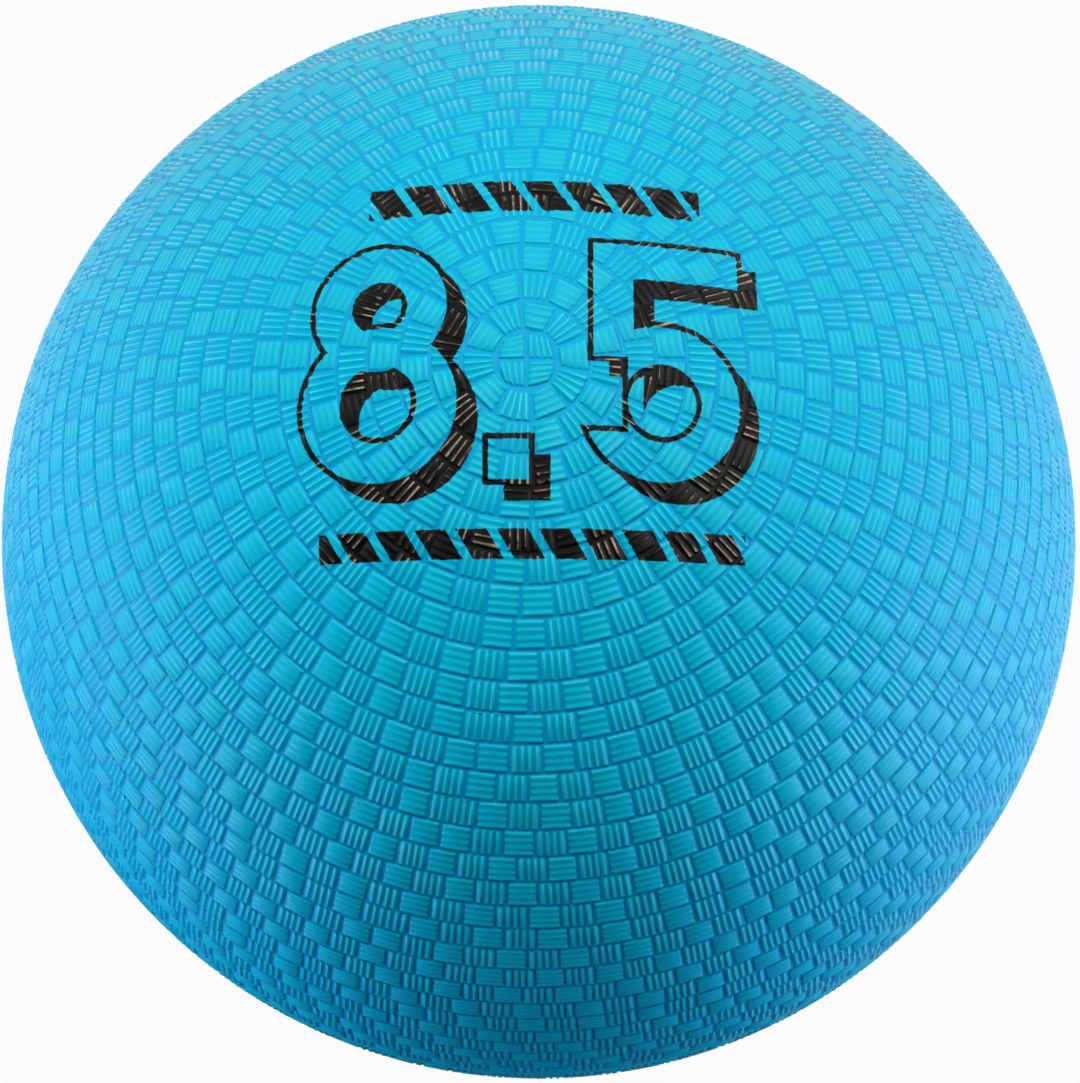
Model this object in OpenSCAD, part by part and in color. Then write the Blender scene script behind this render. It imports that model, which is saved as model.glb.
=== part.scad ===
// Inflatable playground ball of the kind used for dodgeball: a wound rubber ball
// with a basket weave moulded in ring-shaped courses round its moulding axis.
// Origin at the ball's centre, +Z up the moulding axis, lengths in millimetres.
// The printed side looks up (+Z) and the inflation valve looks down (-Z).

/* [Ball] */
// Diameter of the inflated ball, over the crests of the weave
ball_d = 215.9; // [190:0.1:240]

/* [Layers] */
// Wall of the outer cover, from its crests to its inner face
cover_wall = 1.4; // [1.2:0.1:3]
// Wall of the inner ply under the cover
ply_wall = 0.7; // [0.65:0.05:2]
// Thickness of the nylon thread wound over the bladder
winding_wall = 0.3; // [0.2:0.1:1.5]
// Wall of the butyl bladder
bladder_wall = 0.5; // [0.4:0.1:2]
// Cement film between one layer and the next
bond_gap = 0.05; // [0.02:0.01:0.1]
// How far the joint of the inner ply lies below the joint of the cover
ply_joint_drop = 12; // [6:1:30]

/* [Weave] */
// Width of one course of the weave, measured along the surface
course_w = 5.65; // [4:0.05:8]
// Width of the groove between two courses
groove_w = 0.9; // [0.6:0.1:1.4]
// Depth of the groove between two courses
groove_depth = 0.45; // [0.3:0.05:0.8]
// Width of the smooth band that the joint of the cover runs along
seam_band_w = 3; // [2:0.5:6]
// Number of courses left smooth around the valve
pad_courses = 2; // [2:1:4]

/* [Valve boot] */
// Diameter of the neck that passes through the layers
neck_d = 9; // [8.6:0.1:12]
// Room between the neck and the layers around it
neck_gap = 0.05; // [0.02:0.01:0.2]
// Depth of the valve's face below the crests
face_drop = 0.6; // [0.3:0.1:1]
// Bevel around the mouth of the valve hole in the cover
mouth_bevel = 0.5; // [0.2:0.1:0.8]
// Diameter of the barrel inside the bladder
barrel_d = 11; // [10:0.5:14]
// Length of the boot, from the valve's face to the inner end of the barrel
boot_len = 17; // [13:0.5:24]
// Diameter of the flange bonded to the inside of the bladder
flange_d = 32; // [24:1:44]
// Thickness of that flange
flange_wall = 1.2; // [0.8:0.1:2]

/* [Valve patch] */
// Diameter of the patch that covers the thread ends around the neck
patch_d = 44; // [36:1:60]
// Thickness of the patch
patch_wall = 0.35; // [0.2:0.05:0.5]

/* [Valve core] */
// Diameter of the core's stem
core_d = 5; // [4.6:0.1:5.6]
// Diameter of the core's head, flush with the valve's face
head_d = 7; // [6.4:0.1:7.4]
// Height of the head
head_h = 1.2; // [0.8:0.1:2]
// Diameter of the foot that holds the core in behind the barrel
foot_d = 7.6; // [7:0.1:9]
// Height of the foot
foot_h = 3; // [2:0.5:5]
// Room between the core and the boot
core_gap = 0.05; // [0.02:0.01:0.1]
// Diameter of the hole that guides the inflating needle
needle_hole_d = 2.3; // [2.1:0.05:2.6]
// Length of the needle hole
needle_hole_len = 9; // [6:0.5:12]
// Width of the closed slit beyond the needle hole, as it stands at rest
slit_w = 0.12; // [0.08:0.02:0.3]
// Length of the slit across the core
slit_span = 2; // [1.5:0.1:2.2]

/* [Hidden] */
$fn = 120;
groove_facets = 24;
overrun = 1;

// Radii of the layers, each seated on the one outside it
ball_r = ball_d / 2;
cover_in = ball_r - cover_wall;
ply_out = cover_in - bond_gap;
ply_in = ply_out - ply_wall;
winding_out = ply_in - bond_gap;
winding_in = winding_out - winding_wall;
bladder_out = winding_in - bond_gap;
bladder_in = bladder_out - bladder_wall;
flange_out = bladder_in - bond_gap;
flange_in = flange_out - flange_wall;

// Courses fill the surface from the pole to the edge of the seam band
band_angle = asin(seam_band_w / 2 / ball_r);
course_arc = ball_r * (90 - band_angle) * PI / 180;
courses = round(course_arc / course_w);
course_angle = (90 - band_angle) / courses;
groove_r = (pow(groove_w / 2, 2) + pow(groove_depth, 2)) / (2 * groove_depth);
groove_path_r = ball_r - groove_depth + groove_r;

// Heights along the valve, counted outwards from the ball's centre
hole_r = neck_d / 2 + neck_gap;
mouth_y = sqrt(pow(ball_r, 2) - pow(hole_r, 2));
face_y = ball_r - face_drop;
boot_end_y = face_y - boot_len;
head_y = face_y - head_h;
foot_y = boot_end_y - core_gap;
foot_end_y = foot_y - foot_h;
needle_end_y = face_y - needle_hole_len;

// Half section of a spherical wall, on the right of the axis
module wall_section(r_out, r_in) {
    difference() {
        intersection() {
            circle(r_out);
            translate([0, -r_out]) square([r_out, 2 * r_out]);
        }
        circle(r_in);
    }
}

// The part of the children at or above a height
module above(y_low) {
    intersection() {
        children();
        translate([0, y_low]) square([ball_d, ball_d]);
    }
}

// Section of the round way that the valve's neck takes through a layer
module neck_way() {
    square([hole_r, ball_r + overrun]);
}

// Sections of the grooves between courses, from one course number outwards
module groove_sections(first) {
    for (k = [first:courses]) {
        angle = k * course_angle;
        translate([groove_path_r * sin(angle), groove_path_r * cos(angle)])
            circle(groove_r, $fn = groove_facets);
    }
}

// Bevel around the mouth of the valve hole
module mouth_section() {
    polygon([
        [hole_r, mouth_y - mouth_bevel],
        [hole_r + mouth_bevel, mouth_y],
        [hole_r + mouth_bevel, ball_r + overrun],
        [hole_r, ball_r + overrun],
    ]);
}

// Turns the section given as children into a solid with its outer end at -Z
module revolve_down() {
    mirror([0, 0, 1]) rotate_extrude() children();
}

// Upper half of the cover, which carries the print
module cover_top() {
    color("#18aad2") rotate_extrude() difference() {
        above(0) wall_section(ball_r, cover_in);
        groove_sections(1);
    }
}

// Lower half of the cover, with the valve hole in its smooth pad
module cover_bottom() {
    color("#1297c2") revolve_down() difference() {
        above(0) wall_section(ball_r, cover_in);
        groove_sections(pad_courses);
        neck_way();
        mouth_section();
    }
}

// Upper part of the inner ply, which reaches past the cover's joint
module ply_top() {
    color("#3b3f42") rotate_extrude() above(-ply_joint_drop) wall_section(ply_out, ply_in);
}

// Lower part of the inner ply, moulded round the valve patch
module ply_bottom() {
    color("#33373a") revolve_down() difference() {
        above(ply_joint_drop) wall_section(ply_out, ply_in);
        neck_way();
        intersection() {
            circle(ply_in + patch_wall + bond_gap);
            square([patch_d / 2 + bond_gap, ball_r]);
        }
    }
}

// Shell of nylon thread wound over the bladder in great circles
module winding() {
    color("#e9e4d6") revolve_down() difference() {
        wall_section(winding_out, winding_in);
        neck_way();
    }
}

// Round patch that holds the thread ends down around the neck
module valve_patch() {
    color("#8d8577") revolve_down() difference() {
        intersection() {
            wall_section(ply_in + patch_wall, ply_in);
            square([patch_d / 2, ball_r]);
        }
        neck_way();
    }
}

// Air-tight bladder
module bladder() {
    color("#1d1e20") revolve_down() difference() {
        wall_section(bladder_out, bladder_in);
        neck_way();
    }
}

// Moulded housing of the valve: neck, flange inside the bladder, and barrel
module valve_boot() {
    color("#25272a") revolve_down() difference() {
        union() {
            translate([0, flange_in]) square([neck_d / 2, face_y - flange_in]);
            intersection() {
                wall_section(flange_out, flange_in);
                square([flange_d / 2, ball_r]);
            }
            translate([0, boot_end_y])
                square([barrel_d / 2, flange_out - flange_wall / 2 - boot_end_y]);
        }
        translate([0, boot_end_y - overrun])
            square([core_d / 2 + core_gap, boot_len + 2 * overrun]);
        translate([0, head_y - core_gap])
            square([head_d / 2 + core_gap, head_h + core_gap + overrun]);
    }
}

// Self-sealing plug of soft rubber that the inflating needle goes through
module valve_core() {
    color("#6d5f4a") difference() {
        revolve_down() difference() {
            polygon([
                [0, face_y], [head_d / 2, face_y], [head_d / 2, head_y],
                [core_d / 2, head_y], [core_d / 2, foot_y], [foot_d / 2, foot_y],
                [core_d / 2, foot_end_y], [0, foot_end_y],
            ]);
            translate([0, needle_end_y]) square([needle_hole_d / 2, needle_hole_len + overrun]);
        }
        translate([-slit_span / 2, -slit_w / 2, -needle_end_y - overrun])
            cube([slit_span, slit_w, needle_end_y - foot_end_y + 2 * overrun]);
    }
}

cover_top();
cover_bottom();
ply_top();
ply_bottom();
winding();
valve_patch();
bladder();
valve_boot();
valve_core();
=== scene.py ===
import math

import bmesh
import bpy
import numpy as np
from mathutils import Matrix, Vector


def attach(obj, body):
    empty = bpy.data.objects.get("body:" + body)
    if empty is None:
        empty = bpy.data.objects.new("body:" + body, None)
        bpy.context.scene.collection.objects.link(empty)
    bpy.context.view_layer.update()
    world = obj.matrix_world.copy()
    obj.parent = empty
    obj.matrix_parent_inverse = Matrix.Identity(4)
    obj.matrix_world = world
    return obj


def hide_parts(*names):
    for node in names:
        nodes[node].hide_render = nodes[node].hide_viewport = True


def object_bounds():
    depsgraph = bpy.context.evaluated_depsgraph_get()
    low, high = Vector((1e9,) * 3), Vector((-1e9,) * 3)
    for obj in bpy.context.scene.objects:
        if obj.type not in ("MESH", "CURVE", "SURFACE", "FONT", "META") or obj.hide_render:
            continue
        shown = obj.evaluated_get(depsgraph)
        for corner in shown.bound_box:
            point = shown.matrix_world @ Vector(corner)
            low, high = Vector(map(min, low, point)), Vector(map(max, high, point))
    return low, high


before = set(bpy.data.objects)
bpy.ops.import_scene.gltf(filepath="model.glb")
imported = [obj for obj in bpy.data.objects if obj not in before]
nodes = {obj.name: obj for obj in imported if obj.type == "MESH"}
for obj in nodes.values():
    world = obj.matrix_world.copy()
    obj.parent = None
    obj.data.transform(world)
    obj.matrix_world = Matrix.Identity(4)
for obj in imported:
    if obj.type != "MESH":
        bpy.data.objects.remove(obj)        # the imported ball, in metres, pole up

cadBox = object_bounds()
mm = 0.001
print("stage 1: frame loaded,", len(nodes), "solids")

# Camera: it looks at the ball's middle, off the ball's own axis by two small angles
cameraValues = {
    "tilt": math.radians(16.83),     # the pole leans this far up the picture
    "swing": math.radians(-1.158),   # and this far to its left
    "distance": 5.93 * 107.95 * mm,  # 5.93 times the ball's radius
    "lens": 104.4,                   # on a 36 mm sensor
    "shift": (0.0012, 0.0003),       # the ball sits a pixel off the middle
    "clip": (0.01, 20),              # nearest and farthest that is shown, m
}


def addCamera(values):
    a, b = values["tilt"], values["swing"]
    right = Vector((math.cos(b), -math.sin(a) * math.sin(b), math.cos(a) * math.sin(b)))
    up = Vector((0, math.cos(a), math.sin(a)))
    back = right.cross(up).normalized()
    data = bpy.data.cameras.new("camera")
    data.lens = values["lens"]
    data.shift_x, data.shift_y = values["shift"]
    data.clip_start, data.clip_end = values["clip"]
    camera = bpy.data.objects.new("camera", data)
    bpy.context.scene.collection.objects.link(camera)
    turn = Matrix((right, up, back)).transposed().to_4x4()
    camera.matrix_world = Matrix.Translation(back * values["distance"]) @ turn
    bpy.context.scene.camera = camera
    return right, up, back


viewRight, viewUp, viewBack = addCamera(cameraValues)


# Materials

noiseSpan = (0.3, 0.7)      # most values of a noise texture lie between these


# sRGB hex to the linear colour that sockets take
def hexColour(text):
    parts = [int(text[i:i + 2], 16) / 255 for i in (1, 3, 5)]
    linear = [c / 12.92 if c <= 0.04045 else ((c + 0.055) / 1.055) ** 2.4 for c in parts]
    return (*linear, 1.0)


# Adds one node, sets its properties, and fills or links its inputs: a tuple gives them in
# order, a dictionary by name or number
def addNode(tree, kind, inputs=(), **settings):
    made = tree.nodes.new("ShaderNode" + kind)
    for key, value in settings.items():
        setattr(made, key, value)
    for key, value in inputs.items() if isinstance(inputs, dict) else enumerate(inputs):
        if isinstance(value, bpy.types.NodeSocket):
            tree.links.new(value, made.inputs[key])
        elif isinstance(value, bpy.types.Node):
            tree.links.new(value.outputs[0], made.inputs[key])
        else:
            made.inputs[key].default_value = value
    return made


# A material with an empty tree but for its shader and output
def startMaterial(name):
    material = bpy.data.materials.new(name)
    material.use_nodes = True
    tree = material.node_tree
    return material, tree, tree.nodes["Principled BSDF"]


# Black print, pressed on flat from the pole; lengths in mm
printValues = {
    "ink": "#0c0d10",
    "thinInkAndGlint": "#b9a797",          # ink rubbed thin on the crests, with a painted glint there, turns a pale brown
    "inkRoughness": 0.34,
    "centre": (1.0, 1.0),       # of the print, from the pole
    # the numerals 8.5, the usual size in inches: rings by middle and radius, boxes by middle
    # and half size
    "eight": (((-27, 10), 8.5), ((-27, -8), 10.5)),
    "dot": ((-4, -18.5), (4.0, 4.0)),
    "bowl": ((22.5, -8), 10.5),
    "notch": ((9.5, -6.7), (6.5, 6.3)),     # cut out of the bowl
    "bar": ((23.5, 18.5), (13.5, 4.0)),
    "stem": ((14.0, 11.0), (4.0, 11.5)),
    "stroke": 4.0,              # half the width of a ring's stroke
    "line": 0.50,               # half the width of the outline
    "shadow": (3.2, -3.2),      # where the numerals' shadow falls
    # a strip over and one under them, and their bars: lean, half pitch and half width
    "strips": (((0, 32.0), (30.0, 3.4)), ((0, -33.0), (38.0, 2.6))),
    "bars": (0.6, 3.6, 2.7),
    "edge": 0.07,               # softness of a printed edge
    "ragged": 1 / 1.1,          # length of the waves along it
    "wave": 0.5,                # how far they move it
    "reach": 0.55,              # the pad reaches this deep into the weave
    "reachWave": 0.30,          # how far the waves move that
    "reachFade": (0.12, 0.16),  # the ink comes in between these heights over that depth
    "inkWearAndGlint": 1 / 0.22,         # size of the places where the ink is rubbed thin and carries a painted glint
    "inkWearAndGlintAt": (0.42, 0.66),   # the noise where they start and are full
    "inkWearAndGlintMost": 0.9,
    "crestAt": (-0.12, -0.07),  # the heights where the ink can be rubbed thin and carry a painted glint
}


# Distance in mm from a socket of flat print points to a box, negative inside
def boxField(tree, point, centre, half):
    off = addNode(tree, "VectorMath", (point, (*centre, 0)), operation="SUBTRACT")
    size = addNode(tree, "VectorMath", (off,), operation="ABSOLUTE")
    over = addNode(tree, "VectorMath", (size, (*half, 0)), operation="SUBTRACT")
    parts = addNode(tree, "SeparateXYZ", (over,))
    return addNode(tree, "Math", (parts.outputs[0], parts.outputs[1]), operation="MAXIMUM")


# Distance to a round band of a given radius and half width
def bandField(tree, point, centre, radius, half):
    off = addNode(tree, "VectorMath", (point, (*centre, 0)), operation="SUBTRACT")
    far = addNode(tree, "VectorMath", (off,), operation="LENGTH").outputs["Value"]
    gap = addNode(tree, "Math", (far, radius), operation="SUBTRACT")
    gap = addNode(tree, "Math", (gap,), operation="ABSOLUTE")
    return addNode(tree, "Math", (gap, half), operation="SUBTRACT")


# The nearest of several fields
def joinFields(tree, fields):
    whole = fields[0]
    for field in fields[1:]:
        whole = addNode(tree, "Math", (whole, field), operation="MINIMUM")
    return whole


# What is in the first field and outside the second
def cutField(tree, field, cut):
    turned = addNode(tree, "Math", (cut, -1.0), operation="MULTIPLY")
    return addNode(tree, "Math", (field, turned), operation="MAXIMUM")


# The numerals in plain round strokes
def numeralField(tree, point, values):
    stroke = values["stroke"]
    eight = [bandField(tree, point, *ring, stroke) for ring in values["eight"]]
    dot = boxField(tree, point, *values["dot"])
    bowl = bandField(tree, point, *values["bowl"], stroke)
    notch = boxField(tree, point, *values["notch"])
    bowl = cutField(tree, bowl, notch)
    bar = boxField(tree, point, *values["bar"])
    stem = boxField(tree, point, *values["stem"])
    return joinFields(tree, [*eight, dot, bowl, bar, stem])


# Below 0 where the print has ink: outlined numerals with a drop shadow, and a barred strip
# over and under them
def printField(tree, point, values):
    numeral = numeralField(tree, point, values)
    back = addNode(tree, "VectorMath", (point, (*values["shadow"], 0)), operation="SUBTRACT")
    shadow = cutField(tree, numeralField(tree, back, values), numeral)
    outline = addNode(tree, "Math", (numeral,), operation="ABSOLUTE")
    outline = addNode(tree, "Math", (outline, values["line"]), operation="SUBTRACT")
    parts = addNode(tree, "SeparateXYZ", (point,))
    lean, pitch, width = values["bars"]
    bars = addNode(tree, "Math", (parts.outputs[1], lean, parts.outputs[0]),
                   operation="MULTIPLY_ADD")
    bars = addNode(tree, "Math", (bars, pitch), operation="PINGPONG")
    bars = addNode(tree, "Math", (bars, width), operation="SUBTRACT")
    strips = joinFields(tree, [boxField(tree, point, *strip) for strip in values["strips"]])
    strips = addNode(tree, "Math", (strips, bars), operation="MAXIMUM")
    return joinFields(tree, [outline, shadow, strips])


# Lays the ink over the rubber's colour and roughness, and returns both
def addInk(tree, inMm, height, colour, roughness, reach, values):
    flat = addNode(tree, "UVMap", uv_map="OFBake")
    middle = (-reach - values["centre"][0], -reach - values["centre"][1], 0)
    point = addNode(tree, "VectorMath", (flat, (2 * reach, 2 * reach, 0), middle),
                    operation="MULTIPLY_ADD")
    ragged = addNode(tree, "TexNoise", {"Vector": inMm, "Scale": 1 / values["ragged"],
                                        "Detail": 4.0})
    field = printField(tree, point, values)
    field = addNode(tree, "Math", (ragged, values["wave"], field), operation="MULTIPLY_ADD")
    half, edge = values["wave"] / 2, values["edge"]
    inked = addNode(tree, "MapRange", (field, half - edge, half + edge, 1.0, 0.0))
    depth = addNode(tree, "Math", (ragged, values["reachWave"], height),
                    operation="MULTIPLY_ADD")
    low, high = (fade - values["reach"] for fade in values["reachFade"])
    reached = addNode(tree, "MapRange", (depth, low, high, 0.0, 1.0))
    inked = addNode(tree, "Math", (inked, reached), operation="MULTIPLY")
    # ink rubbed thin along some crests, with a painted glint there: pale brown streaks
    inkWearAndGlint = addNode(tree, "TexNoise", {"Vector": inMm, "Scale": 1 / values["inkWearAndGlint"],
                                        "Detail": 5.0, "Roughness": 0.7})
    inkWearAndGlint = addNode(tree, "MapRange", (inkWearAndGlint, *values["inkWearAndGlintAt"], 0.0, values["inkWearAndGlintMost"]))
    crest = addNode(tree, "MapRange", (height, *values["crestAt"], 0.0, 1.0))
    inkWearAndGlint = addNode(tree, "Math", (inkWearAndGlint, crest), operation="MULTIPLY")
    ink = addNode(tree, "Mix", {0: inkWearAndGlint, 6: hexColour(values["ink"]),
                                7: hexColour(values["thinInkAndGlint"])}, data_type="RGBA")
    colour = addNode(tree, "Mix", {0: inked, 6: colour, 7: ink.outputs[2]}, data_type="RGBA")
    roughness = addNode(tree, "Mix", {0: inked, 2: roughness, 3: values["inkRoughness"]})
    return colour.outputs[2], roughness.outputs[0]


# Cover rubber; heights are counted from the crests' radius, mm
coverRubber = {
    "colour": "#00a6cd",        # cyan pigment through and through
    "paintedShade": "#008dc9",          # painted shade: bluer and darker down between the blocks and in the valleys
    "paintedShadeAt": (-0.40, -0.12),   # the heights between which it changes
    "paintedHighlight": "#34c6e4",          # painted highlight along the proudest crests
    "paintedHighlightAt": (-0.09, -0.05),
    "highlightPatches": (0.25, 0.85),    # how much of it there is, from place to place
    "roughness": 0.20,          # crests and flats, burnished by hands
    "dull": 0.45,               # valleys, as the etched mould left them
    "dullAt": (-0.26, -0.10),
    "blotch": (-0.04, 0.05),    # what the roughness gains from place to place
    "gloss": 0.36,              # specular level: the skin is satin, a little dusty
    "ior": 1.52,                # vulcanised rubber
    "grain": 0.30,              # mould grain, mm, drawn coarser than the real 0.1
    "grainBump": (0.10, 0.03),  # its strength, and its height in mm
    "cloud": 24.0,              # slow change of tone over the ball, mm
}


# Vulcanised rubber, moulded against an etched steel mould: one strong colour all through, with
# painted shade down in the gaps and a painted highlight on the crests, a satin skin that goes pale
# at grazing angles, and a fine grain on the crests
def makeCoverRubber(name, values, reach=None):
    material, tree, shader = startMaterial(name)
    place = addNode(tree, "TexCoord").outputs["Object"]
    inMm = addNode(tree, "VectorMath", (place, (1 / mm,) * 3), operation="MULTIPLY")
    far = addNode(tree, "VectorMath", (inMm,), operation="LENGTH").outputs["Value"]
    height = addNode(tree, "Math", (far, cover["radius"]), operation="SUBTRACT")
    cloud = addNode(tree, "TexNoise", {"Vector": inMm, "Scale": 1 / values["cloud"], "Detail": 3.0})
    speck = addNode(tree, "TexNoise", {"Vector": inMm, "Scale": 1 / values["grain"], "Detail": 2.0})
    # painted shade: the colour turns bluer and darker with depth, down in the gaps and the valleys
    depth = addNode(tree, "MapRange", (height, *values["paintedShadeAt"], 0.0, 1.0))
    base = addNode(tree, "Mix", {0: depth, 6: hexColour(values["paintedShade"]),
                                 7: hexColour(values["colour"])}, data_type="RGBA")
    # painted highlight: the crests are paler, more in some places than in others
    crestHighlight = addNode(tree, "MapRange", (height, *values["paintedHighlightAt"], 0.0, 1.0))
    highlightPatch = addNode(tree, "MapRange", (cloud, *noiseSpan, *values["highlightPatches"]))
    tone = addNode(tree, "Math", (crestHighlight, highlightPatch), operation="MULTIPLY")
    base = addNode(tree, "Mix", {0: tone, 6: base.outputs[2], 7: hexColour(values["paintedHighlight"])},
                   data_type="RGBA")
    rough = addNode(tree, "MapRange", (height, *values["dullAt"], values["dull"],
                                       values["roughness"]))
    uneven = addNode(tree, "MapRange", (cloud, *noiseSpan, *values["blotch"]))
    rough = addNode(tree, "Math", (rough, uneven), operation="ADD")
    colour, roughness = base.outputs[2], rough.outputs[0]
    if reach:
        colour, roughness = addInk(tree, inMm, height, colour, roughness, reach, printValues)
    strength, distance = values["grainBump"]
    bump = addNode(tree, "Bump", {"Height": speck, "Strength": strength, "Distance": distance * mm})
    tree.links.new(colour, shader.inputs["Base Color"])
    tree.links.new(roughness, shader.inputs["Roughness"])
    tree.links.new(bump.outputs[0], shader.inputs["Normal"])
    shader.inputs["IOR"].default_value = values["ior"]
    shader.inputs["Specular IOR Level"].default_value = values["gloss"]
    return material


# Cover: both halves of the outer rubber, with the weave in relief; lengths in mm
cover = {
    "radius": 107.95,           # over the crests
    "inside": 106.55,           # inner face
    "courses": 30,              # rings of the weave from the pole to the joint
    "bandHalf": 1.5,            # smooth band on each side of the joint
    "blockPitch": 5.65,         # from block to block round a course
    "sectors": ((1, 1), (5, 4), (12, 8)),   # from this course on, so many sectors
    "seam": (8, 0.42),          # degrees: start of the sectors, and drift back with each
                                # degree from the pole
    "lowerTurn": 17,            # degrees that the lower half's weave is turned on
    "repeatCost": 0.035,        # keeps a course from starting as the one before did
    "ridges": 4,
    "wideRidges": 6,            # on the blocks that close a sector
    "widePitch": 1.5,           # those blocks' share of the pitch
    # ridges: half width of the crest and at the foot, depth of the valley, and how far
    # the last crest lies inside the block's edge
    "upright": {"top": 0.15, "foot": 0.46, "valley": 0.30, "inset": 0.68},
    "round": {"top": 0.26, "foot": 0.55, "valley": 0.14, "inset": 0.54},
    "roundTrim": 0.04,          # blocks with ridges round the ball stop this short of the
                                # course's edges
    "roundExtra": 0.1,          # and are this much longer round it
    "shoulder": 0.05,           # drop at the edge of a crest
    "brow": (0.17, 0.24),       # the block's rounded edge: run inside its foot, and drop
    "seat": 0.04,               # blocks lie this far below the radius, so that they can stray
    "lower": 0.05,              # and the ones with ridges round the ball this much further
    "clear": (0.03, 0.002),     # no point of one comes nearer to the gaps' floor, or the radius
    "floor": 0.45,              # depth of the gaps between blocks
    "endRun": (0.20, 0.50),     # the rounded ends of the ridges
    "endDrop": 0.15,
    "deepest": -0.33,           # the valleys' ends go no lower, to stay above the gaps
    "gapRound": 0.46,           # floor between two blocks of a course
    "gapAcross": 0.32,          # floor between two courses
    "closest": 0.24,            # least floor between blocks where they crowd round the pole
    "leastFan": 0.5,            # share of a full taper to the pole that blocks have far from it
    # the pole's four blocks: gap to the next course, half size as a share of what is left,
    # what comes off it, half the gap between them, and how low they lie
    "pole": {"gap": 0.10, "share": 0.45, "trim": 0.10, "apart": 0.20, "seat": 0.05},
    # each half is made as three pieces that meet in grooves
    "pieces": {"Crown": (1, 16), "Belt": (17, 24), "Skirt": (25, 30)},
    "padCourses": 2,            # left smooth round the valve
    "holeRadius": 4.55,
    # turned profiles, as run along the surface and height; -0.45 is the gaps' floor
    "mouth": ((0, -0.60), (0.12, -0.45), (0.50, -0.10), (0.75, -0.015), (1.35, -0.015),
              (1.60, -0.12), (2.00, -0.14)),                    # from the valve's hole
    "padEdge": ((-0.62, -0.12), (-0.42, -0.18), (-0.20, -0.45)),    # to the pad's first course
    "bandEdge": ((0.18, -0.45), (0.44, -0.17), (0.62, -0.12)),      # from the last course
    "jointEdge": ((-0.42, -0.11), (-0.26, -0.04), (-0.07, -0.03), (0, -0.11)),  # to the joint
    "rimPoints": 480,           # in a circle at a piece's edge
    "mouthPoints": 72,          # in one round the valve
    "innerPoints": 160,         # in one on the inner face
    "innerStep": 4.5,           # from one to the next there
    # how each block strays: the usual amount and the most, in radians, mm, or mm per mm for
    # a lean; one draw each, in this order
    "stray": {"turn": (0.012, 0.02), "round": (0.03, 0.06), "up": (0.02, 0.035),
              "leanRound": (0.006, 0.012), "leanUp": (0.006, 0.012), "lift": (0.012, 0.025),
              "bowRound": (0.035, 0.06), "bowUp": (0.02, 0.03)},
    "calmCourses": 7,           # from here to the pole they turn and shift round it less
    "uneven": (0.030, 0.012),   # how far a point strays along the surface and in height
    "unevenMost": 2,            # and the most, as so many times that
    "seed": 11,
    "mapMargin": 2.0,           # round a piece that the bake map lays flat
    # the map's corner for the inside: its middle and the disc's scale, and round the disc
    # the walls, from a radius and over a width
    "mapCorner": {"middle": 0.925, "disc": 0.12, "wall": 0.064, "wallWidth": 0.008},
}
courseArc = cover["radius"] * (math.pi / 2 - math.asin(cover["bandHalf"] / cover["radius"])) \
    / cover["courses"]


# One course's blocks, each with the angle of its middle and its kind, then the pitch they came
# out at and the kind in the middle of a sector. Kinds alternate; a sector with an odd count
# ends alike on both sides, and there two blocks lie side by side, or two upright ones are
# moulded as one wide block
def layCourse(course, lastKind, offset):
    radius = cover["radius"]
    mid = (course - 0.5) * courseArc
    length = 2 * math.pi * radius * math.sin(mid / radius)
    sectors = [count for start, count in cover["sectors"] if course >= start][-1]
    wanted = length / sectors / cover["blockPitch"]
    other = {"upright": "round", "round": "upright"}
    choices = []
    for count in range(max(2, int(wanted) - 1), int(wanted) + 3):
        for kind in other:
            ends = kind if (count - 1) // 2 % 2 == 0 else other[kind]
            merged = count % 2 == 1 and ends == "upright"
            units = count - 2 + cover["widePitch"] if merged else count
            cost = abs(math.log(wanted / units)) + cover["repeatCost"] * (kind == lastKind)
            choices.append((cost, count, kind, merged, units))
    _, count, kind, merged, units = min(choices, key=lambda choice: choice[0])
    perUnit = 2 * math.pi / sectors / units
    start, drift = cover["seam"]
    seam = math.radians(start - drift * math.degrees(mid / radius) + offset)
    blocks = []
    for s in range(sectors):
        middle = seam + (s + 0.5) * 2 * math.pi / sectors
        for i in range(count):
            if merged and i in (0, count - 1):
                continue
            steps = i - count // 2      # 0 is the middle block, or the one right of the middle
            own = kind if steps % 2 == 0 else other[kind]
            blocks.append((middle + (i - (count - 1) / 2) * perUnit, own))
        if merged:
            blocks.append((middle + math.pi / sectors, "wide"))
    blocks.sort(key=lambda block: block[0])
    return blocks, perUnit * radius * math.sin(mid / radius), kind


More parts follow.
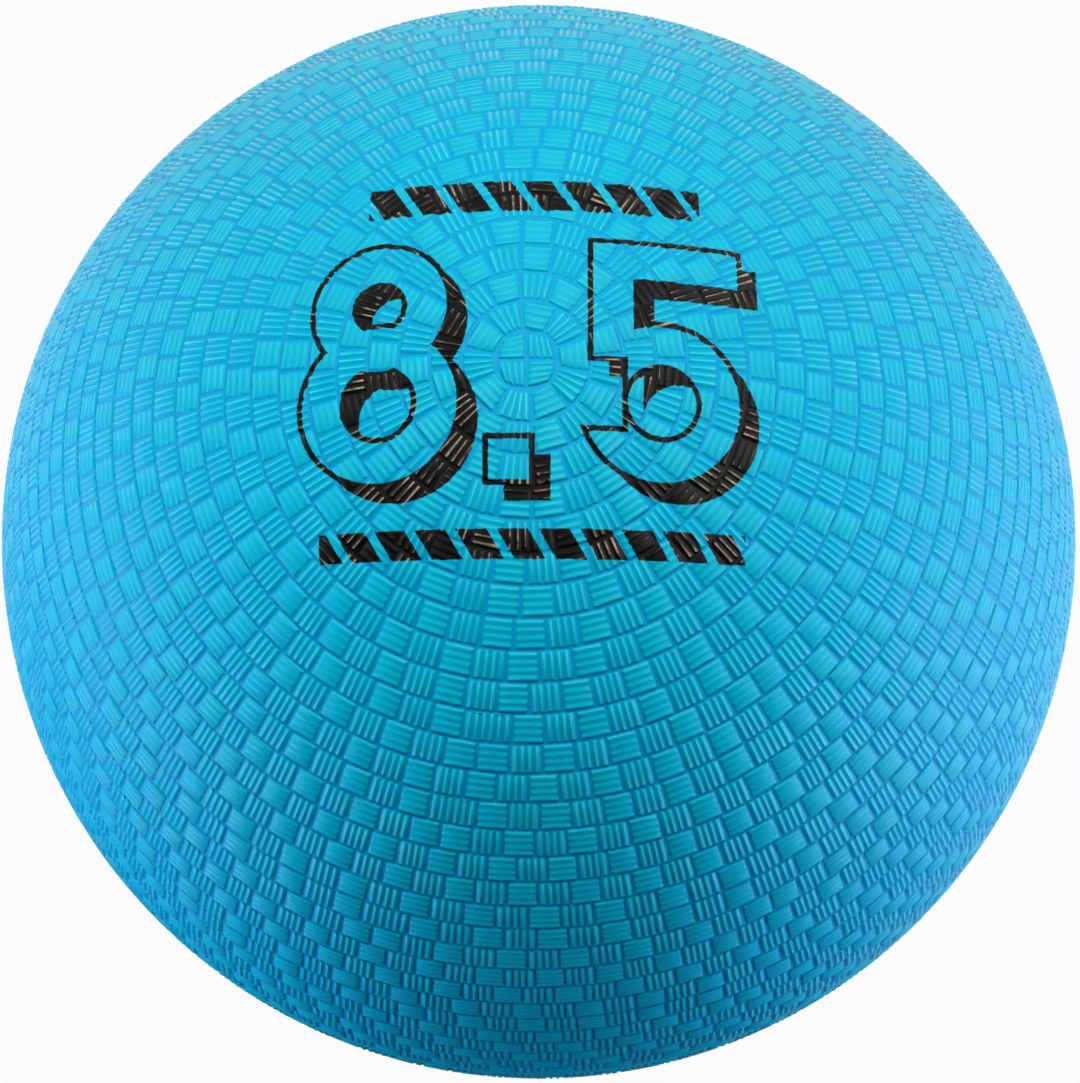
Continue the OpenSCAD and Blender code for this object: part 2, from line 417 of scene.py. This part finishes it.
# One block on flat ground: its points (across, along, height), faces and eight foot points,
# and which points are on the block itself and inside its rim. The ridges lie side by side
# across it. The foot points go round from the bottom left: 0 1 2 are its bottom, 2 3 4 its
# right, 4 5 6 its top and 6 7 0 its left
def makeBlock(ridges, halfAcross, halfAlong, form):
    last = halfAcross - form["inset"]
    brow, drop = cover["brow"]
    across = []
    for i in range(ridges):
        at = last * (2 * i / (ridges - 1) - 1)
        across += [(at - form["foot"], -form["valley"]), (at - form["top"], -cover["shoulder"]),
                   (at, 0.0), (at + form["top"], -cover["shoulder"]),
                   (at + form["foot"], -form["valley"])]
    across[0], across[-1] = (brow - halfAcross, -drop), (halfAcross - brow, -drop)
    near, far = cover["endRun"]
    along = [(near - halfAlong, -cover["endDrop"]), (far - halfAlong, 0.0),
             (halfAlong - far, 0.0), (halfAlong - near, -cover["endDrop"])]
    n, m = len(across), len(along)
    relief = np.array([(a, b, max(riseA + riseB, cover["deepest"]))
                       for a, riseA in across for b, riseB in along])
    grid = np.arange(n * m).reshape(n, m)
    quads = np.stack([grid[:-1, :-1], grid[1:, :-1], grid[1:, 1:], grid[:-1, 1:]], -1)
    feet = np.array([(x * halfAcross, y * halfAlong, -cover["floor"]) for x, y in
                     ((-1, -1), (0, -1), (1, -1), (1, 0), (1, 1), (0, 1), (-1, 1), (-1, 0))])
    rim = np.concatenate([grid[:-1, 0], grid[-1, :-1], grid[:0:-1, -1], grid[0, :0:-1]])
    shareA = (relief[rim, 0] - across[0][0]) / (across[-1][0] - across[0][0])
    shareB = (relief[rim, 1] - along[0][0]) / (along[-1][0] - along[0][0])
    side = np.repeat([0, 1, 2, 3], [n - 1, m - 1, n - 1, m - 1])
    places = np.choose(side, [shareA, 1 + shareB, 3 - shareA, 4 - shareB]) / 4
    foot = n * m + np.arange(len(feet))
    free = np.zeros(n * m + len(feet), bool)
    free[grid[1:-1, 1:-1]] = True
    return {"points": np.vstack([relief, feet]), "quads": quads.reshape(-1, 4),
            "tris": zipLoops(places, rim, np.arange(len(feet)) / len(feet), foot),
            "foot": foot, "raised": np.arange(len(free)) < n * m, "free": free}


# Triangles between two closed loops; each has places from 0 to 1 and point numbers. It goes
# round both together, and steps on along the one whose next point comes first
def zipLoops(placesA, loopA, placesB, loopB):
    shift = int(np.argmin(np.abs((placesB - placesA[0] + 0.5) % 1 - 0.5)))
    start = placesA[0] - 0.5
    placesB, loopB = np.roll(placesB, -shift), np.roll(loopB, -shift)
    placesB = (placesB - start) % 1 + start
    placesB = np.where(placesB < placesB[0], placesB + 1, placesB)
    stepA = (placesA + np.append(placesA[1:], placesA[0] + 1)) / 2
    stepB = (placesB + np.append(placesB[1:], placesB[0] + 1)) / 2
    order = np.argsort(np.concatenate([stepA, stepB]), kind="stable")
    isA = order < len(placesA)
    beforeA = np.cumsum(isA) - isA
    beforeB = np.cumsum(~isA) - ~isA
    nowA, nowB = loopA[beforeA % len(loopA)], loopB[beforeB % len(loopB)]
    nextA, nextB = loopA[(beforeA + 1) % len(loopA)], loopB[(beforeB + 1) % len(loopB)]
    return np.stack([nowA, np.where(isA, nextA, nextB), nowB], -1)


# A growing mesh: points, faces with the zone each lies in, and loops that are sharp edges
zoneNumber = {"outside": 0, "wall": 1, "inside": 2}


def startShell():
    return {"points": [], "count": 0, "sharp": [],
            "quads": [], "quadsZones": [], "tris": [], "trisZones": []}


# Adds points, given as arc from the pole, angle and height over the crests' radius, and
# returns their numbers
def addPoints(shell, arc, angle, height):
    arc, angle, height = np.broadcast_arrays(np.asarray(arc, float), angle, height)
    theta, r = arc / cover["radius"], cover["radius"] + height
    shell["points"].append(np.stack([r * np.sin(theta) * np.sin(angle),
                                     -r * np.sin(theta) * np.cos(angle),
                                     r * np.cos(theta)], -1).reshape(-1, 3))
    first = shell["count"]
    shell["count"] += arc.size
    return np.arange(first, shell["count"]).reshape(arc.shape)


def addFaces(shell, kind, faces, zone="outside"):
    shell[kind].append(faces)
    shell[kind + "Zones"].append(np.full(len(faces), zoneNumber[zone]))


# A whole circle of points, as places from 0 to 1 and point numbers
def addCircle(shell, arc, height, count):
    places = np.arange(count) / count
    return places, addPoints(shell, arc, places * 2 * math.pi, height)


# Faces between two circles with the same count
def bandFaces(shell, inner, outer, zone="outside"):
    a, b = inner[1], outer[1]
    addFaces(shell, "quads", np.stack([a, b, np.roll(b, -1), np.roll(a, -1)], -1), zone)


# Circles along a turned profile, with the faces between them
def addRings(shell, rings, count):
    circles = [addCircle(shell, arc, height, count) for arc, height in rings]
    for inner, outer in zip(circles, circles[1:]):
        bandFaces(shell, inner, outer)
    return circles


# A loop's places round the axis, counted on from its first point, with its point numbers
def loopPlaces(points, loop):
    p = points[loop]
    turn = np.arctan2(p[:, 0], -p[:, 1]) / (2 * math.pi)
    return (turn - turn[0]) % 1 + turn[0], loop


# Points (round, up, height) of some blocks of one kind, each shifted, turned, bowed and leaning
# a little, as blocks cut one by one into the mould are
def strayBlocks(block, count, turned, halfUp, calm, rng):
    across, along, height = block["points"].T
    if turned:              # by a quarter, so that the ridges run round the ball
        across, along = -along, across
    draws = rng.normal(0, 1, (count, len(cover["stray"])))[:, :, None]
    stray = {key: np.clip(draws[:, i] * usual, -most, most)
             for i, (key, (usual, most)) in enumerate(cover["stray"].items())}
    turn = stray["turn"] * calm
    x = across * np.cos(turn) - along * np.sin(turn) + stray["round"] * calm
    y = along * np.cos(turn) + across * np.sin(turn) + stray["up"]
    x = x + stray["bowRound"] * (along / np.abs(along).max()) ** 2 * calm
    y = y + stray["bowUp"] * (across / np.abs(across).max()) ** 2
    lean = stray["leanRound"] * across + stray["leanUp"] * along
    lift = -cover["seat"] - (cover["lower"] if turned else 0) + stray["lift"]
    most, (sideways, upwards) = cover["unevenMost"], cover["uneven"]
    rough = np.clip(rng.normal(0, 1, (3, count, len(height))), -most, most)
    x = x + np.where(block["free"], rough[0] * sideways, 0)
    y = y + np.where(block["free"], rough[1] * sideways, 0)
    low, high = cover["clear"][0] - cover["floor"], -cover["clear"][1]
    risen = np.clip(height + lift + lean + rough[2] * upwards, low, high)
    # the grooves between courses are turned in the mould, so their edges keep to the ring
    y = np.where(block["raised"], y, np.round(along / halfUp) * halfUp)
    return x, y, np.where(block["raised"], risen, height)


# One course of blocks; returns the loops of foot points along its two edges
def addCourse(shell, course, blocks, pitch, rng):
    radius, ridges = cover["radius"], cover["ridges"]
    mid = (course - 0.5) * courseArc
    midRadius = radius * math.sin(mid / radius)
    halfUp = (courseArc - cover["gapAcross"]) / 2
    # near the pole the blocks narrow inwards, so that their feet stay apart
    spread = cover["gapRound"] - cover["closest"]
    fan = max(cover["leastFan"],
              (pitch - spread * midRadius / halfUp) / (pitch - cover["gapRound"]))
    calm = min(1.0, course / cover["calmCourses"])
    halfRound = (pitch - cover["gapRound"]) / 2
    halfWide = (cover["widePitch"] * pitch - cover["gapRound"]) / 2
    halfLong = (pitch - cover["gapRound"] + cover["roundExtra"]) / 2
    forms = {
        "upright": makeBlock(ridges, halfRound, halfUp, cover["upright"]),
        "wide": makeBlock(cover["wideRidges"], halfWide, halfUp, cover["upright"]),
        "round": makeBlock(ridges, halfUp - cover["roundTrim"], halfLong, cover["round"]),
    }
    feet = np.zeros((len(blocks), 8), int)
    for kind, block in forms.items():
        which = [i for i, (_, own) in enumerate(blocks) if own == kind]
        if not which:
            continue
        middles = np.array([blocks[i][0] for i in which])[:, None]
        turned = kind == "round"
        x, y, height = strayBlocks(block, len(which), turned, halfUp, calm, rng)
        up = mid + y
        ring = radius * np.sin(up / radius)
        angle = middles + x * (1 + fan * (ring / midRadius - 1)) / ring
        numbers = addPoints(shell, up, angle, height)
        addFaces(shell, "quads", numbers[:, block["quads"]].reshape(-1, 4))
        addFaces(shell, "tris", numbers[:, block["tris"]].reshape(-1, 3))
        own = numbers[:, block["foot"]]
        # a turned block's corners are rolled on, to read bottom left first as the others do
        feet[which] = np.roll(own, 2, axis=1) if turned else own
    right = feet[:, [2, 3, 4]]
    left = np.roll(feet, -1, axis=0)[:, [0, 7, 6]]
    gaps = np.stack([right[:, :-1], left[:, :-1], left[:, 1:], right[:, 1:]], -1).reshape(-1, 4)
    addFaces(shell, "quads", gaps)
    points = np.concatenate(shell["points"])
    return [loopPlaces(points, feet[:, edge].ravel()) for edge in ([0, 1, 2], [6, 5, 4])]


# The pole: four blocks in a ring of their own, squeezed from a square to a round
def addPole(shell):
    form, clear = cover["pole"], cover["clear"][0] - cover["floor"]
    reach = courseArc - form["gap"]
    size = form["share"] * reach - form["trim"]
    middle = size + form["apart"]
    feet = []
    for i, (right, up) in enumerate(((1, 1), (-1, 1), (-1, -1), (1, -1))):
        turned = i % 2
        block = makeBlock(cover["ridges"], size, size, cover["round" if turned else "upright"])
        x, y, height = block["points"].T
        if turned:
            x, y = -y, x
        x, y = (x + right * middle) / reach, (y + up * middle) / reach
        flatX, flatY = x * np.sqrt(1 - y * y / 2), y * np.sqrt(1 - x * x / 2)
        risen = np.maximum(height - form["seat"] - cover["lower"] * turned, clear)
        height = np.where(block["raised"], risen, height)
        arc, angle = np.hypot(flatX, flatY) * reach, np.arctan2(flatX, -flatY)
        numbers = addPoints(shell, arc, angle, height)
        addFaces(shell, "quads", numbers[block["quads"]])
        addFaces(shell, "tris", numbers[block["tris"]])
        own = numbers[block["foot"]]
        feet.append(np.roll(own, 2) if turned else own)
    # gaps between neighbours, and the small square in the middle
    one, two, three, four = feet     # upper right, upper left, lower left, lower right
    seams = [(two[[2, 3, 4]], one[[0, 7, 6]]), (three[[2, 3, 4]], four[[0, 7, 6]]),
             (three[[6, 5, 4]], two[[0, 1, 2]]), (four[[6, 5, 4]], one[[0, 1, 2]])]
    for a, b in seams:
        addFaces(shell, "quads", np.stack([a[:-1], b[:-1], b[1:], a[1:]], -1))
    addFaces(shell, "quads", np.array([[three[4], four[6], one[0], two[2]]]))
    rim = np.concatenate([one[[2, 3, 4, 5, 6]], two[[4, 5, 6, 7, 0]],
                          three[[6, 7, 0, 1, 2]], four[[0, 1, 2, 3, 4]]])
    points = np.concatenate(shell["points"])[rim]
    turn = np.arctan2(points[:, 0], -points[:, 1]) / (2 * math.pi) % 1
    order = np.argsort(turn)
    return turn[order], rim[order]


# The inner face, and the walls from it to the outside's two edges; at the pole there is no
# opening, only a tip
def addInside(shell, opening, edge, lowArc, highArc):
    depth, count = cover["inside"] - cover["radius"], cover["innerPoints"]
    steps = max(3, round((highArc - lowArc) / cover["innerStep"]))
    shell["sharp"].append(edge[1])
    rim = addCircle(shell, highArc, depth, len(edge[0]))
    bandFaces(shell, edge, rim, "wall")
    ring = addCircle(shell, highArc - (highArc - lowArc) / steps, depth, count)
    addFaces(shell, "tris", zipLoops(*rim, *ring), "inside")
    for i in range(2, steps if opening else steps - 1):
        lower = addCircle(shell, highArc - (highArc - lowArc) * i / steps, depth, count)
        bandFaces(shell, ring, lower, "inside")
        ring = lower
    if opening:
        mouth = addCircle(shell, lowArc, depth, len(opening[0]))
        addFaces(shell, "tris", zipLoops(*ring, *mouth), "inside")
        bandFaces(shell, mouth, opening, "wall")
        shell["sharp"].append(opening[1])
    else:
        tip = np.repeat(addPoints(shell, np.array([0.0]), 0.0, depth), count)
        addFaces(shell, "tris", np.stack([ring[1], np.roll(ring[1], -1), tip], -1), "inside")


# One closed piece of the cover, from one course to another, on the upper or the lower half
def makeCoverPiece(name, upper, first, last, material):
    shell = startShell()
    # each piece draws from a seed of its own
    rng = np.random.default_rng(cover["seed"] + 7 * first + (0 if upper else 100))
    floor = -cover["floor"]
    # it starts in a groove that it shares with another piece, at the pole or round the valve
    lowArc, start = (first - 1) * courseArc, first
    if first > 1:
        opening = edge = addCircle(shell, lowArc, floor, cover["rimPoints"])
    elif upper:
        opening, edge, start = None, addPole(shell), 2
    else:
        lowArc, start = cover["holeRadius"], cover["padCourses"] + 1
        padArc = cover["padCourses"] * courseArc
        rings = [(lowArc + run, height) for run, height in cover["mouth"]] \
            + [(padArc + run, height) for run, height in cover["padEdge"]]
        circles = addRings(shell, rings, cover["mouthPoints"])
        opening, edge = circles[0], circles[-1]
    # every course from the second is laid, since each depends on the one before it
    kind = "round"
    for course in range(2, last + 1):
        blocks, pitch, kind = layCourse(course, kind, 0 if upper else cover["lowerTurn"])
        if course >= start:
            low, high = addCourse(shell, course, blocks, pitch, rng)
            addFaces(shell, "tris", zipLoops(*edge, *low))
            edge = high
    # it ends in the next groove, or with the smooth band along the joint
    highArc = last * courseArc
    rings = [(highArc, floor)]
    if last == cover["courses"]:
        rings = [(highArc + run, height) for run, height in cover["bandEdge"]]
        highArc = cover["radius"] * math.pi / 2
        rings += [(highArc + run, height) for run, height in cover["jointEdge"]]
    circles = addRings(shell, rings, cover["rimPoints"])
    addFaces(shell, "tris", zipLoops(*edge, *circles[0]))
    addInside(shell, opening, circles[-1], lowArc, highArc)
    finishShell(shell, name, upper, highArc, material)


# Half the side of the square that the bake map lays a piece in, mm
def printReach(highArc):
    return highArc + cover["mapMargin"]


# Bake map: the outside laid flat from the pole, the rest in a small disc in a corner
def layFlat(p, zones, highArc):
    rho = np.hypot(p[:, 0], p[:, 1])
    arc = np.arctan2(rho, np.abs(p[:, 2])) * cover["radius"]
    share = arc / np.maximum(rho, 1e-9)
    flat = p[:, :2] * share[:, None] / (2 * printReach(highArc))
    direction = p[:, :2] / np.maximum(rho, 1e-9)[:, None]
    far = np.linalg.norm(p, axis=1)
    wallShare = (far - cover["inside"]) / (cover["radius"] - cover["inside"])
    corner = cover["mapCorner"]
    wall = direction * (corner["wall"] + corner["wallWidth"] * wallShare)[:, None]
    outside, inside = ((zones == zoneNumber[zone])[:, None] for zone in ("outside", "inside"))
    return np.where(outside, flat + 0.5, np.where(inside, flat * corner["disc"] + corner["middle"],
                                                  wall + corner["middle"]))


# Turns the gathered points and faces into a Blender mesh, outward faces, bake map and all
def finishShell(shell, name, upper, highArc, material):
    points, quads, tris = (np.concatenate(shell[key]) for key in ("points", "quads", "tris"))
    quadsZones, trisZones = (np.concatenate(shell[key]) for key in ("quadsZones", "trisZones"))
    if not upper:
        points = points * (1, 1, -1)

    mesh = bpy.data.meshes.new(name)
    mesh.vertices.add(len(points))
    mesh.vertices.foreach_set("co", (points * mm).astype(np.float32).ravel())
    corners = np.concatenate([quads.ravel(), tris.ravel()])
    mesh.loops.add(len(corners))
    mesh.loops.foreach_set("vertex_index", corners.astype(np.int32))
    starts = np.concatenate([np.arange(len(quads)) * 4, len(quads) * 4 + np.arange(len(tris)) * 3])
    mesh.polygons.add(len(starts))
    mesh.polygons.foreach_set("loop_start", starts.astype(np.int32))
    mesh.update(calc_edges=True)
    zones = np.concatenate([quadsZones, trisZones])
    mesh.polygons.foreach_set("use_smooth", zones != zoneNumber["wall"])
    # sharp where the outside meets the walls
    flagged = np.zeros(len(points), bool)
    flagged[np.concatenate(shell["sharp"])] = True
    ends = np.zeros(len(mesh.edges) * 2, np.int32)
    mesh.edges.foreach_get("vertices", ends)
    mesh.edges.foreach_set("use_edge_sharp", flagged[ends.reshape(-1, 2)].all(1))
    perCorner = np.concatenate([np.repeat(quadsZones, 4), np.repeat(trisZones, 3)])
    layer = mesh.uv_layers.new(name="OFBake")
    uv = layFlat(points[corners], perCorner, highArc)
    layer.data.foreach_set("uv", uv.astype(np.float32).ravel())
    mesh.materials.append(material)
    # every face looks out of the solid
    solid = bmesh.new()
    solid.from_mesh(mesh)
    bmesh.ops.recalc_face_normals(solid, faces=solid.faces)
    solid.to_mesh(mesh)
    solid.free()
    piece = bpy.data.objects.new(name, mesh)
    bpy.context.scene.collection.objects.link(piece)
    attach(piece, "root")
    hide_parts("cover_top" if upper else "cover_bottom")
    print("stage 2:", name, len(points), "points,", len(quads) * 2 + len(tris), "triangles")


crownArc = cover["pieces"]["Crown"][1] * courseArc
printedRubber = makeCoverRubber("mouldedRubberPrinted", coverRubber, printReach(crownArc))
plainRubber = makeCoverRubber("mouldedRubber", coverRubber)
for half, upper in (("coverTop", True), ("coverBottom", False)):
    for part, (first, last) in cover["pieces"].items():
        printed = upper and first == 1
        makeCoverPiece(half + part, upper, first, last, printedRubber if printed else plainRubber)

# Inner layers and valve: the CAD solids with their own finishes. The second colour comes in
# patches of the grain's size, mm
innerFinishes = {
    # calendered natural rubber sheet, cured against the cover: dull, faint bloom
    "curedPlyRubber": {"nodes": ("ply_top", "ply_bottom"), "slot": "ply_rubber",
                       "colour": "#3b3f42", "second": "#4a4e50",
                       "roughness": 0.72, "ior": 1.52, "grain": 3.0},
    # twisted nylon thread in wax: pale, a little lustre
    "woundNylonThread": {"nodes": ("winding",), "slot": "nylon_thread",
                         "colour": "#e9e4d6", "second": "#c9c1ab",
                         "roughness": 0.48, "ior": 1.53, "grain": 0.8},
    # rubberised cotton cloth: dull, and mottled at the size of its threads
    "rubberisedCottonCloth": {"nodes": ("valve_patch",), "slot": "patch_cloth",
                              "colour": "#8d8577", "second": "#6e675b",
                              "roughness": 0.85, "ior": 1.50, "grain": 0.6},
    # dipped butyl: smooth black with a soft gloss
    "dippedButylRubber": {"nodes": ("bladder",), "slot": "butyl",
                          "colour": "#1d1e20", "second": "#292a2c",
                          "roughness": 0.45, "ior": 1.51, "grain": 6.0},
    # moulded black rubber of the valve housing: satin, with a fine grain
    "mouldedBlackRubber": {"nodes": ("valve_boot",), "slot": "boot_rubber",
                           "colour": "#25272a", "second": "#34363a",
                           "roughness": 0.50, "ior": 1.52, "grain": 0.7},
    # soft tan gum of the valve's plug: dull and a little mottled
    "mouldedGumRubber": {"nodes": ("valve_core",), "slot": "core_rubber",
                         "colour": "#6d5f4a", "second": "#86765c",
                         "roughness": 0.62, "ior": 1.52, "grain": 0.6},
}
innerLook = {
    "patchesAt": (0.35, 0.65),  # the noise where the second colour starts and is full
    "unevenRoughness": 0.06,    # more or less
    "bump": (0.25, 0.05),       # strength, and height in mm
}


def makeInnerMaterial(name, values):
    material, tree, shader = startMaterial(name)
    place = addNode(tree, "TexCoord").outputs["Object"]
    inMm = addNode(tree, "VectorMath", (place, (1 / mm,) * 3), operation="MULTIPLY")
    noise = addNode(tree, "TexNoise", {"Vector": inMm, "Scale": 1 / values["grain"], "Detail": 4.0})
    blend = addNode(tree, "MapRange", (noise, *innerLook["patchesAt"], 0.0, 1.0))
    base = addNode(tree, "Mix", {0: blend, 6: hexColour(values["colour"]),
                                 7: hexColour(values["second"])}, data_type="RGBA")
    roughness, uneven = values["roughness"], innerLook["unevenRoughness"]
    rough = addNode(tree, "MapRange", (noise, *noiseSpan, roughness - uneven, roughness + uneven))
    strength, distance = innerLook["bump"]
    bump = addNode(tree, "Bump", {"Height": noise, "Strength": strength, "Distance": distance * mm})
    tree.links.new(base.outputs[2], shader.inputs["Base Color"])
    tree.links.new(rough.outputs[0], shader.inputs["Roughness"])
    tree.links.new(bump.outputs[0], shader.inputs["Normal"])
    shader.inputs["IOR"].default_value = values["ior"]
    return material


for name, finish in innerFinishes.items():
    material = makeInnerMaterial(name, finish)
    for node in finish["nodes"]:
        solid = nodes[node]
        solid.data.materials.clear()
        solid.data.materials.append(material)
print("stage 3: inner layers and valve finished")

# Studio: a board under the ball, a warm soft box above and behind the camera, two cooler ones
# low at the sides, and a dim cool room
studio = {
    "floor": "#64707c",         # what the board gives to the light that it bounces
    "floorShown": 0.96,         # the white that it shows to the camera and to mirrored rays
    "floorHalf": 6,             # half its side, m
    "floorRoughness": 0.9,
    "paper": (-0.12, 0.02),     # m: mirrored white from here on, the front as it is shaded
    "slant": 0.25,              # the white reaches further forward on the right
    "wall": (-0.27, 0.15),      # the mirrored wall goes from dark to white at this height
    "panels": (0.20, 1.0),      # its white overhead, and out at both sides
    "panelsAt": (0.3, 0.8),     # how far out they start and are full
    "panelsShift": 0.12,        # and how far both lie to the left
    "room": (0.03, 0.12),       # light round the camera, and above the picture
    "roomAt": (-0.2, 0.9),      # the heights between which it changes
    "roomColour": "#bccfff",
    "background": 0.98,         # white behind the ball
    # boxes: direction as right, up and back to the camera; colour; distance and side, m; power
    "boxes": {
        "keyBox": ((0, 0.62, 0.785), "#fff7de", 1.0, 0.75, 16.3),
        "leftBox": ((-1, -0.42, -0.13), "#dceaf0", 0.45, 0.38, 5.1),
        "rightBox": ((1, -0.42, -0.13), "#dceaf0", 0.45, 0.38, 5.1),
    },
}


def addFloor(values):
    mesh = bpy.data.meshes.new("floor")
    half, z = values["floorHalf"], cadBox[0].z
    square = [(-half, -half, z), (half, -half, z), (half, half, z), (-half, half, z)]
    mesh.from_pydata(square, [], [(0, 1, 2, 3)])
    floor = bpy.data.objects.new("floor", mesh)
    bpy.context.scene.collection.objects.link(floor)
    # painted board, matt: grey to the light it bounces and white to the eye; seen from below
    # it isn't there, so the valve side shows
    material, tree, shader = startMaterial("mattWhiteBoard")
    output = tree.nodes["Material Output"]
    shader.inputs["Base Color"].default_value = hexColour(values["floor"])
    shader.inputs["Roughness"].default_value = values["floorRoughness"]
    path = addNode(tree, "LightPath")
    # the front of the floor, below the picture, is mirrored dark, as the room there is
    place = addNode(tree, "NewGeometry").outputs["Position"]
    ahead = addNode(tree, "VectorMath", (place, (values["slant"], 1, 0)),
                    operation="DOT_PRODUCT").outputs["Value"]
    bright = addNode(tree, "MapRange", (ahead, *values["paper"], 0.0, 1.0))
    seen = addNode(tree, "Math", (path.outputs["Is Glossy Ray"],
                                  path.outputs["Is Transmission Ray"]), operation="MAXIMUM")
    seen = addNode(tree, "Math", (seen, path.outputs["Is Camera Ray"]), operation="MAXIMUM")
    seen = addNode(tree, "Math", (seen, values["floorShown"]), operation="MULTIPLY")
    glow = addNode(tree, "Math", (bright, path.outputs["Is Camera Ray"]), operation="MAXIMUM")
    white = addNode(tree, "Emission", {"Color": (1, 1, 1, 1), "Strength": glow})
    top = addNode(tree, "MixShader", (seen, shader.outputs[0], white))
    clear = addNode(tree, "BsdfTransparent")
    side = addNode(tree, "NewGeometry").outputs["Backfacing"]
    both = addNode(tree, "MixShader", (side, top, clear))
    tree.links.new(both.outputs[0], output.inputs["Surface"])
    mesh.materials.append(material)


def addBox(name, direction, colour, distance, side, power):
    data = bpy.data.lights.new(name, "AREA")
    data.shape, data.size, data.energy = "SQUARE", side, power
    data.color = hexColour(colour)[:3]
    lamp = bpy.data.objects.new(name, data)
    lamp.visible_glossy = False      # the walls and the floor are what the rubber mirrors
    bpy.context.scene.collection.objects.link(lamp)
    right, up, back = direction
    direction = (viewRight * right + viewUp * up + viewBack * back).normalized()
    lamp.location = direction * distance
    lamp.rotation_mode = "QUATERNION"
    lamp.rotation_quaternion = direction.to_track_quat("Z", "Y")


# The room: dim and even to the light it gives, a white wall with side panels where it is
# mirrored, and plain white behind the ball
def addRoom(values):
    world = bpy.data.worlds.new("room")
    bpy.context.scene.world = world
    world.use_nodes = True
    tree = world.node_tree
    way = addNode(tree, "TexCoord").outputs["Generated"]
    rise = addNode(tree, "VectorMath", (way, tuple(viewUp)),
                   operation="DOT_PRODUCT").outputs["Value"]
    light = addNode(tree, "MapRange", (rise, *values["roomAt"], *values["room"]),
                    interpolation_type="SMOOTHSTEP")
    across = addNode(tree, "VectorMath", (way, tuple(viewRight)),
                     operation="DOT_PRODUCT").outputs["Value"]
    tilted = addNode(tree, "Math", (across, values["slant"], rise), operation="MULTIPLY_ADD")
    raised = addNode(tree, "MapRange", (tilted, *values["wall"], 0.0, 1.0),
                     interpolation_type="SMOOTHSTEP")
    aside = addNode(tree, "Math", (across, values["panelsShift"]), operation="ADD")
    aside = addNode(tree, "Math", (aside,), operation="ABSOLUTE")
    panels = addNode(tree, "MapRange", (aside, *values["panelsAt"], *values["panels"]),
                     interpolation_type="SMOOTHSTEP")
    wall = addNode(tree, "Math", (raised, panels), operation="MULTIPLY")
    path = addNode(tree, "LightPath")
    camera = path.outputs["Is Camera Ray"]
    seen = addNode(tree, "Math", (path.outputs["Is Glossy Ray"],
                                  path.outputs["Is Transmission Ray"]), operation="MAXIMUM")
    light = addNode(tree, "Mix", {0: seen, 2: light, 3: wall})
    light = addNode(tree, "Mix", {0: camera, 2: light, 3: values["background"]})
    seen = addNode(tree, "Math", (seen, camera), operation="MAXIMUM")
    tone = addNode(tree, "Mix", {0: seen, 6: hexColour(values["roomColour"]), 7: (1, 1, 1, 1)},
                   data_type="RGBA")
    background = tree.nodes["Background"]
    tree.links.new(light.outputs[0], background.inputs["Strength"])
    tree.links.new(tone.outputs[2], background.inputs["Color"])


addFloor(studio)
for name, box in studio["boxes"].items():
    addBox(name, *box)
addRoom(studio)
bpy.context.scene.view_settings.view_transform = "Standard"
print("stage 4: studio lit")
